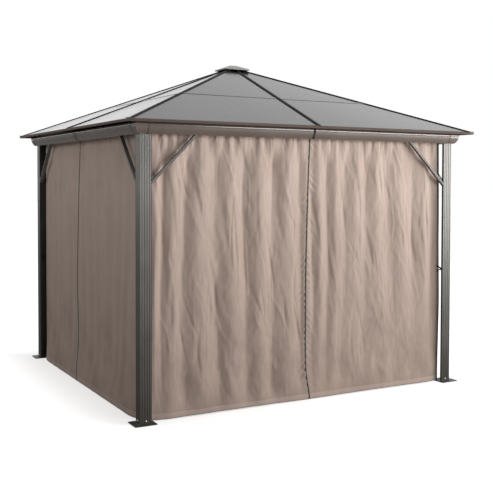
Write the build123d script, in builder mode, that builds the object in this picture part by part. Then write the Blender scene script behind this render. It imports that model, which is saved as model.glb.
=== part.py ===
# A square garden gazebo. Four fluted corner posts on foot plates carry a beam with a rain
# gutter in its face, a low pyramid roof of clear sheets held between slim ribs, and eight
# curtains that hang from a track behind the beam.
# Sizes are in millimetres. The ground is Z = 0 and the middle of the plan is the origin.
# The front is the -Y side. Pieces are drawn at the front or at the front left corner and
# turned about Z to the other three places.
import os
from math import atan, cos, radians, sin, sqrt, tan

from build123d import *

os.makedirs("parts", exist_ok=True)

# The frame in plan and in height
frame_width = 2700
post_top = 1969
eave_overhang = 125
roof_slope = atan(0.3975)

# Corner posts
post_leg = 80
post_wall = 18
flute_radius = 4.2
flute_lift = 1.0
flutes_per_face = 4

# Foot plates
foot_width = 160
foot_thickness = 4
foot_corner = 12
foot_overhang = 50
foot_bolt_radius = 5.5
foot_bolt_spacing = 120
socket_sheet = 3
socket_height = 60

# Beam, gutter and curtain track
gutter_height = 77
gutter_reach = 44
gutter_toe = 16
gutter_wall = 5
beam_depth = 30
beam_back_wall = 22
track_depth = 42
track_height = 18
track_lift = 16
track_mouth = 8
track_cavity = 18
track_wall = 4
track_cavity_height = 9
corner_length = 96
joint_gap = 1

# Knee braces
brace_reach = 335
brace_width = 18

# Roof ribs
rib_width = 30
rib_height = 30
rib_web = 6
rib_cover = 25
rib_cover_thickness = 6
rib_foot_width = 60
rib_foot_height = 31.5

# Roof sheets and the strip that joins the upper sheet to the lower one
sheet_thickness = 6
sheet_gap = 0.5
sheet_joint = 830
strip_width = 24
strip_plate = 2
sheet_top_cut = 130

# Eave trim
trim_depth = 16
trim_drop = 9
trim_plate = 2.7
trim_slot = 12

# Crown
hub_radius = 60
hub_flange_radius = 140
hub_flange_thickness = 5
cap_width = 226
cap_flat = 60
cap_rim_height = 10
cap_sheet = 3
cap_rise = 22
cap_stem_radius = 14

# Curtains
curtain_sheet = 3
curtain_inset = 95
curtain_hem = 8

# Small space between pieces that sit against each other
seat = 0.3

# Sizes that follow from those above
half = frame_width / 2
eave = half + eave_overhang
fall = tan(roof_slope)
hip_slope = atan(fall / sqrt(2))
gutter_top = post_top + gutter_height
half_sheet = sheet_thickness / 2
strip_seat = half_sheet + seat
foot_inner = half - beam_depth
foot_middle = foot_inner + beam_back_wall / 2
rib_under = (strip_seat + rib_height) / cos(roof_slope)
sheet_apex = gutter_top + rib_foot_height + rib_under + fall * foot_inner

sides = {"front": 0, "right": 90, "back": 180, "left": 270}
corners = {"front_left": 0, "front_right": 90, "back_right": 180, "back_left": 270}
side_ends = {
    "front": ("left", "right"),
    "right": ("front", "back"),
    "back": ("right", "left"),
    "left": ("back", "front"),
}

mitre_plane = Plane(origin=(0, 0, 0), z_dir=(1, -1, 0))


def sheet_height(distance):
    """Height of the middle of the roof sheet at a distance from the centre."""
    return sheet_apex - fall * distance


def save(node, part, angle):
    """Turn a finished piece about Z, label it and write it."""
    with BuildPart() as placed:
        add(part.rotate(Axis.Z, angle))
    placed.part.label = node
    export_step(placed.part, "parts/" + node + ".step")


# Corner post: an angle of two flat legs with round flutes down both outer faces
with BuildPart() as post:
    with BuildSketch(Plane.XY.offset(foot_thickness)) as post_outline:
        with BuildLine():
            Polyline(
                (-half, -half),
                (-half + post_leg, -half),
                (-half + post_leg, -half + post_wall),
                (-half + post_wall, -half + post_wall),
                (-half + post_wall, -half + post_leg),
                (-half, -half + post_leg),
                close=True,
            )
        make_face()
        inner_corner = (-half + post_wall, -half + post_wall)
        fillet(post_outline.vertices().sort_by_distance(inner_corner)[1:], radius=2.5)
        flute_pitch = post_leg / (flutes_per_face + 0.5)
        flute_places = [flute_pitch * (number + 0.75) for number in range(flutes_per_face)]
        with Locations([(-half + place, -half - flute_lift) for place in flute_places]):
            Circle(flute_radius, mode=Mode.SUBTRACT)
        with Locations([(-half - flute_lift, -half + place) for place in flute_places]):
            Circle(flute_radius, mode=Mode.SUBTRACT)
    extrude(amount=post_top - foot_thickness)

# Foot plate with four bolt holes and an upright angle that stands inside the post
foot_centre = half + foot_overhang - foot_width / 2
with BuildPart() as foot:
    with BuildSketch():
        with Locations((-foot_centre, -foot_centre)):
            RectangleRounded(foot_width, foot_width, foot_corner)
            with GridLocations(foot_bolt_spacing, foot_bolt_spacing, 2, 2):
                Circle(foot_bolt_radius, mode=Mode.SUBTRACT)
    extrude(amount=foot_thickness)
    with BuildSketch(Plane.XY.offset(foot_thickness)):
        socket = -half + post_wall + seat
        socket_end = -half + post_leg - 6
        with BuildLine():
            Polyline(
                (socket, socket),
                (socket_end, socket),
                (socket_end, socket + socket_sheet),
                (socket + socket_sheet, socket + socket_sheet),
                (socket + socket_sheet, socket_end),
                (socket, socket_end),
                close=True,
            )
        make_face()
    extrude(amount=socket_height)

for corner, angle in corners.items():
    save("post_" + corner, post.part, angle)
    save("foot_plate_" + corner, foot.part, angle)

# Section of the beam, with X outward from the posts' faces and Y up from the posts' tops.
# A convex face runs out to a rounded lip, with the open gutter behind it. The track hangs
# on the beam's inner side and has a slot for the curtain gliders.
lip = gutter_reach
top = gutter_height
track_back = -beam_depth - track_depth
track_middle = -beam_depth - track_depth * 0.6
trough_back = -beam_depth + beam_back_wall
with BuildSketch() as gutter_section:
    with BuildLine():
        Line((-beam_depth, 0), (gutter_toe, 0))
        ThreePointArc((gutter_toe, 0), (lip * 0.78, top * 0.33), (lip - 2, top * 0.68))
        Line((lip - 2, top * 0.68), (lip, top * 0.72))
        ThreePointArc((lip, top * 0.72), (lip + 1, top * 0.87), (lip - 4, top))
        Polyline((lip - 4, top), (lip - 8, top), (lip - 8, top * 0.74))
        ThreePointArc(
            (lip - 8, top * 0.74),
            (lip * 0.78 - gutter_wall, top * 0.33 + gutter_wall),
            (gutter_toe - 4, gutter_wall + 3),
        )
        Polyline(
            (gutter_toe - 4, gutter_wall + 3),
            (trough_back, gutter_wall + 3),
            (trough_back, top),
            (-beam_depth, top),
            (-beam_depth, track_lift + track_height),
            (track_back, track_lift + track_height),
            (track_back, track_lift),
            (track_middle - track_mouth / 2, track_lift),
            (track_middle - track_mouth / 2, track_lift + track_wall),
            (track_middle - track_cavity / 2, track_lift + track_wall),
            (track_middle - track_cavity / 2, track_lift + track_wall + track_cavity_height),
            (track_middle + track_cavity / 2, track_lift + track_wall + track_cavity_height),
            (track_middle + track_cavity / 2, track_lift + track_wall),
            (track_middle + track_mouth / 2, track_lift + track_wall),
            (track_middle + track_mouth / 2, track_lift),
            (-beam_depth, track_lift),
            (-beam_depth, 0),
        )
    make_face()

# Beam along one side in two lengths that meet in the middle
beam_start = joint_gap / 2
corner_joint = half + gutter_reach - corner_length
with BuildPart() as beam:
    with BuildSketch(Plane(origin=(-beam_start, -half, post_top), x_dir=(0, -1, 0), z_dir=(-1, 0, 0))):
        add(gutter_section.sketch)
    extrude(amount=corner_joint - beam_start)
    split(bisect_by=mitre_plane.offset(joint_gap / 2), keep=Keep.TOP)
    mirror(about=Plane.YZ)

# Corner piece of the same section, cut to a mitre and mirrored across it
with BuildPart() as beam_corner:
    corner_start = Plane(
        origin=(-corner_joint - joint_gap, -half, post_top),
        x_dir=(0, -1, 0),
        z_dir=(-1, 0, 0),
    )
    with BuildSketch(corner_start):
        add(gutter_section.sketch)
    extrude(amount=2 * corner_length)
    split(bisect_by=mitre_plane, keep=Keep.TOP)
    mirror(about=mitre_plane)

# Knee brace at 45 degrees in the plane of the post's leg, grooved down its outer face
with BuildPart() as brace:
    brace_middle = Plane(
        origin=(-half + post_leg + brace_reach / 2, -half + beam_depth / 2, post_top - brace_reach / 2),
        x_dir=(0, -1, 0),
        z_dir=(1, 0, 1),
    )
    with BuildSketch(brace_middle):
        RectangleRounded(beam_depth, brace_width, 3)
        with Locations((beam_depth / 2 + flute_lift, 0)):
            Circle(flute_radius, mode=Mode.SUBTRACT)
    extrude(amount=brace_reach, both=True)
    split(bisect_by=Plane(origin=(-half + post_leg, 0, 0), z_dir=(1, 0, 0)), keep=Keep.TOP)
    split(bisect_by=Plane(origin=(0, 0, post_top), z_dir=(0, 0, -1)), keep=Keep.TOP)

with BuildPart() as brace_mirrored:
    add(brace.part.mirror(Plane.YZ))

for side, angle in sides.items():
    save("gutter_beam_" + side, beam.part, angle)
    first_end, second_end = side_ends[side]
    save("brace_" + side + "_" + first_end, brace.part, angle)
    save("brace_" + side + "_" + second_end, brace_mirrored.part, angle)

for corner, angle in corners.items():
    save("gutter_corner_" + corner, beam_corner.part, angle)

# Middle rib of one roof face. The sheets lie in the slots between its cover and its box.
rib_end = eave - trim_depth - seat
trim_bottom = sheet_height(eave) - trim_drop
with BuildPart() as middle_rib:
    rib_plane = Plane(
        origin=(0, 0, sheet_apex),
        x_dir=(1, 0, 0),
        z_dir=(0, -cos(roof_slope), -sin(roof_slope)),
    )
    with BuildSketch(rib_plane):
        with Locations((0, -strip_seat - rib_height / 2)):
            Rectangle(rib_width, rib_height)
        Rectangle(rib_web, 2 * strip_seat + 2)
        with Locations((0, strip_seat + rib_cover_thickness / 2)):
            RectangleRounded(rib_cover, rib_cover_thickness, 1.5)
    extrude(amount=eave / cos(roof_slope))
    split(bisect_by=Plane(origin=(0, -hub_radius - seat, 0), z_dir=(0, -1, 0)), keep=Keep.TOP)
    split(bisect_by=Plane(origin=(0, -rib_end, 0), z_dir=(0, 1, 0)), keep=Keep.TOP)
    split(bisect_by=Plane.XY.offset(trim_bottom), keep=Keep.TOP)
    with BuildSketch(Plane.XY.offset(gutter_top)):
        with Locations((0, -foot_middle)):
            Rectangle(rib_foot_width, beam_back_wall)
    extrude(amount=rib_foot_height + 2)

# Hip rib at a corner. Its cover and the top of its box fold down to follow both sheets.
hip_fold = sin(hip_slope)
side_step = rib_width / 2
cover_step = rib_cover / 2 + 1
hip_under = (strip_seat + side_step * hip_fold + rib_height - 4) / cos(hip_slope)
with BuildPart() as hip_rib:
    hip_plane = Plane(
        origin=(0, 0, sheet_apex),
        x_dir=(1, -1, 0),
        z_dir=(-cos(hip_slope), -cos(hip_slope), -sqrt(2) * sin(hip_slope)),
    )
    with BuildSketch(hip_plane):
        with BuildLine():
            Polyline(
                (-side_step, -strip_seat - side_step * hip_fold),
                (-rib_web / 2, -strip_seat - rib_web / 2 * hip_fold),
                (-rib_web / 2, strip_seat - rib_web / 2 * hip_fold),
                (-cover_step, strip_seat - cover_step * hip_fold),
                (-cover_step, strip_seat - cover_step * hip_fold + rib_cover_thickness - 1),
                (-cover_step + 2, strip_seat - cover_step * hip_fold + rib_cover_thickness),
                (0, strip_seat + rib_cover_thickness),
                (cover_step - 2, strip_seat - cover_step * hip_fold + rib_cover_thickness),
                (cover_step, strip_seat - cover_step * hip_fold + rib_cover_thickness - 1),
                (cover_step, strip_seat - cover_step * hip_fold),
                (rib_web / 2, strip_seat - rib_web / 2 * hip_fold),
                (rib_web / 2, -strip_seat - rib_web / 2 * hip_fold),
                (side_step, -strip_seat - side_step * hip_fold),
                (side_step, -strip_seat - side_step * hip_fold - rib_height + 4),
                (-side_step, -strip_seat - side_step * hip_fold - rib_height + 4),
                close=True,
            )
        make_face()
    extrude(amount=1.6 * eave)
    hip_start = (hub_radius + seat) / sqrt(2)
    split(bisect_by=Plane(origin=(-hip_start, -hip_start, 0), z_dir=(-1, -1, 0)), keep=Keep.TOP)
    split(bisect_by=Plane(origin=(-rib_end, 0, 0), z_dir=(1, 0, 0)), keep=Keep.TOP)
    split(bisect_by=Plane(origin=(0, -rib_end, 0), z_dir=(0, 1, 0)), keep=Keep.TOP)
    split(bisect_by=Plane.XY.offset(trim_bottom), keep=Keep.TOP)
    with BuildSketch(Plane.XY.offset(gutter_top)):
        with Locations((-foot_middle, -foot_middle)):
            Rectangle(beam_back_wall, beam_back_wall)
    extrude(amount=sheet_height(foot_inner) - hip_under - gutter_top + 2)

for corner, angle in corners.items():
    save("hip_rib_" + corner, hip_rib.part, angle)

# Eave trim: a channel with an upright outer face that takes the lower edge of the sheets
slot_half = (half_sheet + seat) / cos(roof_slope)
trim_inner = eave - trim_depth
slot_end = eave - trim_depth + trim_slot
with BuildPart() as trim:
    with BuildSketch(Plane(origin=(-beam_start, 0, 0), x_dir=(0, -1, 0), z_dir=(-1, 0, 0))):
        with BuildLine():
            Polyline(
                (eave, trim_bottom),
                (eave, sheet_height(eave) + slot_half + trim_plate),
                (trim_inner, sheet_height(trim_inner) + slot_half + trim_plate),
                (trim_inner, sheet_height(trim_inner) + slot_half),
                (slot_end, sheet_height(slot_end) + slot_half),
                (slot_end, sheet_height(slot_end) - slot_half),
                (trim_inner, sheet_height(trim_inner) - slot_half),
                (trim_inner, trim_bottom),
                close=True,
            )
        make_face()
    extrude(amount=eave)
    split(bisect_by=mitre_plane, keep=Keep.TOP)
    mirror(about=Plane.YZ)

# Roof sheets of one face: an upper and a lower sheet on each side of the middle rib, with a
# thin double channel between them. Distances d run outward from the centre in plan.
roof_plane = Plane(
    origin=(0, 0, sheet_apex),
    x_dir=(1, 0, 0),
    z_dir=(0, -sin(roof_slope), cos(roof_slope)),
)
hip_offset = sqrt(1 + cos(roof_slope) ** 2)
sheet_inner = rib_web / 2 + sheet_gap
sheet_hip = (rib_web / 2 + sheet_gap + half_sheet * hip_fold) * hip_offset
strip_inner = rib_width / 2 + 1
strip_hip = (rib_width / 2 + 2) * hip_offset
joint_space = 1.5
sheet_end = slot_end - 3
top_middle = (sheet_top_cut - sheet_inner * sin(radians(22.5))) / cos(radians(22.5))
top_hip = (sheet_top_cut + sheet_hip * sin(radians(22.5))) / (sin(radians(22.5)) + cos(radians(22.5)))


def down(x, distance):
    """Point on the roof face: x across, and a plan distance from the centre."""
    return (x, -distance / cos(roof_slope))


joint_step = joint_space * cos(roof_slope)
with BuildPart() as roof_sheets:
    with BuildSketch(roof_plane.offset(-half_sheet)):
        with BuildLine():
            Polyline(
                down(sheet_inner, top_middle),
                down(top_hip - sheet_hip, top_hip),
                down(sheet_joint - joint_step - sheet_hip, sheet_joint - joint_step),
                down(sheet_inner, sheet_joint - joint_step),
                close=True,
            )
        make_face()
        with BuildLine():
            Polyline(
                down(sheet_inner, sheet_joint + joint_step),
                down(sheet_joint + joint_step - sheet_hip, sheet_joint + joint_step),
                down(sheet_end - sheet_hip, sheet_end),
                down(sheet_inner, sheet_end),
                close=True,
            )
        make_face()
    extrude(amount=sheet_thickness)
    strip_layers = (
        (strip_seat, strip_plate, strip_width / 2),
        (-strip_seat, 2 * strip_seat, 1),
        (-strip_seat - strip_plate, strip_plate, strip_width / 2),
    )
    for level, thickness, reach in strip_layers:
        above = sheet_joint - reach * cos(roof_slope)
        below = sheet_joint + reach * cos(roof_slope)
        with BuildSketch(roof_plane.offset(level)):
            with BuildLine():
                Polyline(
                    down(strip_inner, above),
                    down(above - strip_hip, above),
                    down(below - strip_hip, below),
                    down(strip_inner, below),
                    close=True,
                )
            make_face()
        extrude(amount=thickness)
    mirror(about=Plane.YZ)

for side, angle in sides.items():
    save("middle_rib_" + side, middle_rib.part, angle)
    save("eave_trim_" + side, trim.part, angle)
    save("roof_sheets_" + side, roof_sheets.part, angle)

# Crown hub: an eight-sided block that the ribs butt against, on a wider plate
flange_top = sheet_height(hub_flange_radius) - rib_under - seat
hub_top = sheet_height(hub_radius) + 8
with BuildPart() as hub:
    with BuildSketch(Plane.XY.offset(flange_top - hub_flange_thickness)):
        RegularPolygon(hub_flange_radius, 8, major_radius=False, rotation=22.5)
    extrude(amount=hub_flange_thickness)
    with BuildSketch(Plane.XY.offset(flange_top)):
        RegularPolygon(hub_radius, 8, major_radius=False, rotation=22.5)
    extrude(amount=hub_top - flange_top)
save("crown_hub", hub.part, 0)

# Vent cap: a hollow square pyramid with an upright rim, on a stem above the hub
cap_edge = sheet_height(cap_width / 2) + cap_rise + cap_rim_height
cap_bottom = cap_edge - cap_rim_height
cap_top = cap_edge + fall * (cap_width - cap_flat) / 2
cap_inside = cap_width - 2 * cap_sheet
cap_drop = cap_sheet / cos(roof_slope)
with BuildPart() as cap:
    with BuildSketch(Plane.XY.offset(cap_bottom)):
        Rectangle(cap_width, cap_width)
    extrude(amount=cap_rim_height)
    with BuildSketch(Plane.XY.offset(cap_edge)):
        Rectangle(cap_width, cap_width)
    with BuildSketch(Plane.XY.offset(cap_top)):
        Rectangle(cap_flat, cap_flat)
    loft()
    with BuildSketch(Plane.XY.offset(cap_bottom)):
        Rectangle(cap_inside, cap_inside)
    extrude(amount=cap_rim_height - cap_sheet / 2, mode=Mode.SUBTRACT)
    with BuildSketch(Plane.XY.offset(cap_edge - cap_sheet / 2)):
        Rectangle(cap_inside, cap_inside)
    with BuildSketch(Plane.XY.offset(cap_top - cap_drop)):
        Rectangle(cap_flat, cap_flat)
    loft(mode=Mode.SUBTRACT)
    with BuildSketch(Plane.XY.offset(hub_top)):
        Circle(cap_stem_radius)
    extrude(amount=cap_top - cap_drop - hub_top + 1)
save("vent_cap", cap.part, 0)

# Curtains: one upright sheet each, pleated along its length, two to a side. Their tops meet
# the track. The two on a side meet where their slide fasteners join.
curtain_line = -half - track_middle
curtain_end = half - curtain_inset
curtain_top = post_top + track_lift - seat


def curtain(node, start, end, pleat, depth, angle):
    """A sheet from start to end along the side, in pleats of about the given width and depth."""
    count = 2 * round((end - start) / pleat)
    step = (end - start) / count
    lift = (0, 0.7, 1, 0.7)
    places = [start + step * (number + quarter / 4) for number in range(count) for quarter in range(4)]
    swing = [
        lift[quarter] * (depth / 2 if number % 2 else -depth / 2)
        for number in range(count)
        for quarter in range(4)
    ]
    outer = [(x, curtain_line - curtain_sheet / 2 + y) for x, y in zip(places, swing)]
    outer.append((end, curtain_line - curtain_sheet / 2))
    inner = [(x, y + curtain_sheet) for x, y in reversed(outer)]
    with BuildPart() as cloth:
        with BuildSketch(Plane.XY.offset(curtain_hem)):
            with BuildLine():
                Polyline(*outer, *inner, close=True)
            make_face()
        extrude(amount=curtain_top - curtain_hem)
    save(node, cloth.part, angle)


curtain_space = 1
curtain_plans = {
    "front": (0, 114, 34, 139, 24),
    "right": (0, 125, 30, 125, 30),
    "back": (0, 125, 30, 125, 30),
    "left": (-180, 155, 20, 155, 20),
}
for side, angle in sides.items():
    meet, first_pleat, first_depth, second_pleat, second_depth = curtain_plans[side]
    first_end, second_end = side_ends[side]
    node = "curtain_" + side + "_"
    curtain(node + first_end, -curtain_end, meet - curtain_space, first_pleat, first_depth, angle)
    curtain(node + second_end, meet + curtain_space, curtain_end, second_pleat, second_depth, angle)
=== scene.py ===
# Garden gazebo with a smoke-tinted hipped roof, gutter beams and hung curtains.
# The CAD model is the fixed frame. This file adds cloth, small parts, finishes, light and camera.
import math

import bpy
import numpy as np
from mathutils import Matrix, Vector


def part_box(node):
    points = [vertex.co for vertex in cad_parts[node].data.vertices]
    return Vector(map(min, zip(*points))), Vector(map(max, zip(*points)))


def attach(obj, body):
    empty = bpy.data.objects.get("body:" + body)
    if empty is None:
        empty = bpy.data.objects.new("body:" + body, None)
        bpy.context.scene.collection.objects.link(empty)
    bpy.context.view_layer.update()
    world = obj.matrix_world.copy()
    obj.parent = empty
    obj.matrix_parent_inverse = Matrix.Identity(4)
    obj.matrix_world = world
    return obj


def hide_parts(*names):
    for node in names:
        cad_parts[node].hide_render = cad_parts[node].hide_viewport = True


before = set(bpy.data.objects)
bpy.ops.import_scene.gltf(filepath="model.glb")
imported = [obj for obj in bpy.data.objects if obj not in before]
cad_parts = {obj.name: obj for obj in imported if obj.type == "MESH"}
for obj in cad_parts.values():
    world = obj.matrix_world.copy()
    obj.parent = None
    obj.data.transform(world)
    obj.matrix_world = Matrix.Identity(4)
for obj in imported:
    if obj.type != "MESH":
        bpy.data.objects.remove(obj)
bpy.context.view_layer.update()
print("stage: CAD frame loaded,", len(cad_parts), "nodes")

# each side is drawn at the front and turned about Z by these degrees
sides = {"front": 0, "right": 90, "back": 180, "left": 270}
# the two curtains of a side, from low X to high X as drawn
sideEnds = {
    "front": ("left", "right"),
    "right": ("front", "back"),
    "back": ("right", "left"),
    "left": ("back", "front"),
}

# sizes read from the CAD frame, in metres
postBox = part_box("post_front_left")
half = -postBox[0][0]  # outer face of the posts
postTop = postBox[1][2]
postLeg = postBox[1][0] - postBox[0][0]
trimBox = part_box("eave_trim_front")
eave = trimBox[1][0]
trimFoot = trimBox[0][2]
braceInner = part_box("brace_front_left")[1][1]
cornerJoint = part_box("gutter_corner_front_left")[1][0]

fullTurn = 2 * math.pi
poleRadius = 0.0004  # turned shapes end this close to their axis


def hexColor(text):
    # sRGB hex to linear: divide by 12.92 below 0.04045, else the 2.4 power curve
    values = np.array([int(text[i:i + 2], 16) for i in (1, 3, 5)]) / 255.0
    linear = np.where(values <= 0.04045, values / 12.92, ((values + 0.055) / 1.055) ** 2.4)
    return (*linear.tolist(), 1.0)


def addNode(tree, kind, inputs=None, stops=(), **settings):
    # one node: kind is its type after "ShaderNode", settings are its properties, inputs are values,
    # sockets or nodes to link from, and stops are a ramp's pairs of place and colour
    item = tree.nodes.new("ShaderNode" + kind)
    for key, value in settings.items():
        setattr(item, key, value)
    for key, value in (inputs or {}).items():
        if isinstance(value, bpy.types.Node):
            value = value.outputs[0]
        if isinstance(value, bpy.types.NodeSocket):
            tree.links.new(value, item.inputs[key])
        else:
            item.inputs[key].default_value = value
    for number, (place, color) in enumerate(stops):
        item.color_ramp.elements[number].position = place
        item.color_ramp.elements[number].color = hexColor(color)
    return item


def addObject(name, data):
    # an object with this mesh, light or camera, linked into the scene
    item = bpy.data.objects.new(name, data)
    bpy.context.scene.collection.objects.link(item)
    return item


def newMaterial(name):
    # a material, its emptied node tree and the object's own coordinates in it
    material = bpy.data.materials.new(name)
    material.use_nodes = True
    tree = material.node_tree
    tree.nodes.clear()
    return material, tree, addNode(tree, "TexCoord").outputs["Object"]


def turned(points, angle):
    # turn an array of points about Z by an angle in degrees: (x c - y s, x s + y c, z)
    c, s = math.cos(math.radians(angle)), math.sin(math.radians(angle))
    x, y, z = points[..., 0], points[..., 1], points[..., 2]
    return np.stack([x * c - y * s, x * s + y * c, z], axis=-1)


def gridFaces(rows, columns, wrap=False):
    # quads between neighbours on a rows by columns grid; wrap joins the last column to the first
    index = np.arange(rows * columns).reshape(rows, columns)
    if wrap:
        index = np.concatenate([index, index[:, :1]], axis=1)
    quads = [index[:-1, :-1], index[:-1, 1:], index[1:, 1:], index[1:, :-1]]
    return np.stack(quads, axis=-1).reshape(-1, 4)


def meshPiece(name, points, faces, material, uv=None, smooth=True):
    # puts whole arrays of points and quads into one mesh object that rides on the root
    mesh = bpy.data.meshes.new(name)
    faces = np.asarray(faces, dtype=np.int32)
    points = np.asarray(points, dtype=np.float32).reshape(-1, 3)
    mesh.vertices.add(len(points))
    mesh.vertices.foreach_set("co", points.ravel())
    mesh.loops.add(faces.size)
    mesh.loops.foreach_set("vertex_index", faces.ravel())
    mesh.polygons.add(len(faces))
    loopStarts = np.arange(0, faces.size, faces.shape[1], dtype=np.int32)
    mesh.polygons.foreach_set("loop_start", loopStarts)
    mesh.update(calc_edges=True)
    mesh.validate()
    if uv is not None:
        layer = mesh.uv_layers.new(name="cloth")
        uv = np.asarray(uv, dtype=np.float32).reshape(-1, 2)
        layer.data.foreach_set("uv", uv[faces.ravel()].ravel())
    mesh.polygons.foreach_set("use_smooth", np.full(len(faces), smooth))
    mesh.materials.append(material)
    piece = addObject(name, mesh)
    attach(piece, "root")
    return piece


def joinedPiece(name, parts, material, smooth=True):
    # joins pairs of points and faces into one piece: each part's faces count on from the last
    points, faces, start = [], [], 0
    for partPoints, partFaces in parts:
        partPoints = np.asarray(partPoints).reshape(-1, 3)
        points.append(partPoints)
        faces.append(np.asarray(partFaces) + start)
        start += len(partPoints)
    meshPiece(name, np.concatenate(points), np.concatenate(faces), material, smooth=smooth)


def onAllSides(parts):
    # the parts as drawn at the front, turned to each of the four sides
    return [(turned(points, angle), faces) for angle in sides.values() for points, faces in parts]


def lathe(profile, axis, place, count):
    # a profile of (radius, height) turned about an axis through a place:
    # radius times the ring, plus height along the axis
    profile = np.asarray(profile, dtype=float)
    axis = np.asarray(axis, dtype=float) / np.linalg.norm(axis)
    guide = np.array([0, 0, 1.0]) if abs(axis[2]) < 0.9 else np.array([1.0, 0, 0])
    across = np.cross(guide, axis)
    across /= np.linalg.norm(across)
    upward = np.cross(axis, across)
    turn = np.linspace(0, fullTurn, count, endpoint=False)
    ring = np.cos(turn)[:, None] * across + np.sin(turn)[:, None] * upward
    radius, height = profile[:, 0, None, None], profile[:, 1, None, None]
    points = radius * ring[None] + height * axis + np.asarray(place)
    return points, gridFaces(len(profile), count, wrap=True)[:, ::-1]


def smoothNoise(x, z, seed, scaleX, scaleZ, count=8):
    # sum of plane waves with random direction and phase, about -1 to 1, stretched by two scales
    source = np.random.default_rng(seed)
    total = np.zeros_like(x)
    turns = source.uniform(0, fullTurn, count)
    phases = source.uniform(0, fullTurn, count)
    gains = source.uniform(0.6, 1.4, count)
    for turn, phase, gain in zip(turns, phases, gains):
        along = x / scaleX * math.cos(turn) + z / scaleZ * math.sin(turn)
        total += gain * np.sin(fullTurn * along + phase)
    return total / math.sqrt(count)


def wave(place, length, stray=0.0):
    # a sine of the given wavelength, shifted by stray radians
    return np.sin(fullTurn * place / length + stray)


def bell(distance, width):
    # 1 in the middle and falling off both ways: e to the minus square of distance over width
    return np.exp(-(distance / width) ** 2)


def eased(share):
    # a share held between 0 and 1 with a soft start and end: 3 s squared less 2 s cubed
    share = np.clip(share, 0, 1)
    return share * share * (3 - 2 * share)


# a noise scale is one over the size of its grain in metres
coatPlan = {
    "speckle": 420.0,  # 2.4 mm, coarser than the real flake so that it shows
    "speckleShare": 0.35,
    "cloud": 3.2,  # hand marks and dust, 0.3 m
    "cloudShare": 0.65,
    "peel": 260.0,  # 4 mm orange peel
    "peelStrength": 0.12,
    "tones": (0.36, 0.64),  # where on the noise the darker and the lighter tone lie
    "smoother": 0.07,
    "rougher": 0.1,
    "varnishRoughness": 0.14,
}


def powderCoat(name, color, darker, roughness, flake=0.0, level=0.5, varnish=0.0, footDarkening=None):
    # Polyester powder baked on metal: an even satin skin with a slight orange peel and fine
    # speckle. Its tone is a weighted sum of fine and wide noise. The share of metal flake gives
    # broad bright reflections, and a varnish gives narrow ones.
    plan = coatPlan
    material, tree, place = newMaterial(name)
    speckle = addNode(tree, "TexNoise", {"Vector": place, "Scale": plan["speckle"], "Detail": 2.0})
    cloud = addNode(tree, "TexNoise", {"Vector": place, "Scale": plan["cloud"], "Detail": 4.0})
    peel = addNode(tree, "TexNoise", {"Vector": place, "Scale": plan["peel"], "Detail": 3.0})
    blend = addNode(tree, "Math", {0: speckle, 1: plan["speckleShare"]}, operation="MULTIPLY")
    blend = addNode(tree, "Math", {0: cloud, 1: plan["cloudShare"], 2: blend}, operation="MULTIPLY_ADD")
    base = addNode(tree, "ValToRGB", {"Fac": blend}, zip(plan["tones"], (darker, color)))
    if footDarkening:
        # the colour is darker towards the foot and fades out at the given height
        footDarkColor, footDarkTop = footDarkening
        height = addNode(tree, "SeparateXYZ", {0: place}).outputs["Z"]
        fade = addNode(tree, "MapRange", {
            "Value": height, "From Max": footDarkTop, "To Min": 1.0, "To Max": 0.0,
        })
        darkenedLayers = {0: fade, 6: base, 7: hexColor(footDarkColor)}
        base = addNode(tree, "Mix", darkenedLayers, data_type="RGBA").outputs[2]
    rough = addNode(tree, "MapRange", {
        "Value": cloud, "To Min": roughness - plan["smoother"], "To Max": roughness + plan["rougher"],
    })
    bump = addNode(tree, "Bump", {
        "Height": peel, "Strength": plan["peelStrength"], "Distance": 0.001,
    })
    shader = addNode(tree, "BsdfPrincipled", {
        "Base Color": base, "Roughness": rough, "Normal": bump, "Metallic": flake,
        "Specular IOR Level": level, "Coat Weight": varnish, "Coat Roughness": plan["varnishRoughness"],
    })
    addNode(tree, "OutputMaterial", {"Surface": shader})
    return material


postCoat = powderCoat(
    "powder_coated_aluminium_taupe", "#7a7874", "#6b6965", 0.3, flake=0.35, footDarkening=("#524e49", 1.6))
plateCoat = powderCoat("powder_coated_steel_dark", "#35332f", "#272522", 0.5)
gutterCoat = powderCoat(
    "powder_coated_aluminium_brown", "#7c6d64", "#6f6057", 0.24, level=0.9, varnish=1.0)
trimCoat = powderCoat("powder_coated_aluminium_brown_matt", "#6b5b53", "#5d4f48", 0.6, level=0.15)
ribCoat = powderCoat("powder_coated_aluminium_black", "#1e1e1d", "#151514", 0.6, level=0.15)
capCoat = powderCoat("powder_coated_steel_grey", "#7e7d78", "#6f6e69", 0.25)

sheetPlan = {
    "colors": ("#303233", "#434544"),
    "tones": (0.3, 0.7),
    "flute": 0.024,  # flutes are 6 mm apart in the sheet, drawn 24 mm apart so that they show
    "fluteTone": 0.035,
    "fluteStrength": 0.05,
    "haze": 1.6,  # 0.6 m clouds of dust
    "roughness": (0.1, 0.26),
}


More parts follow.
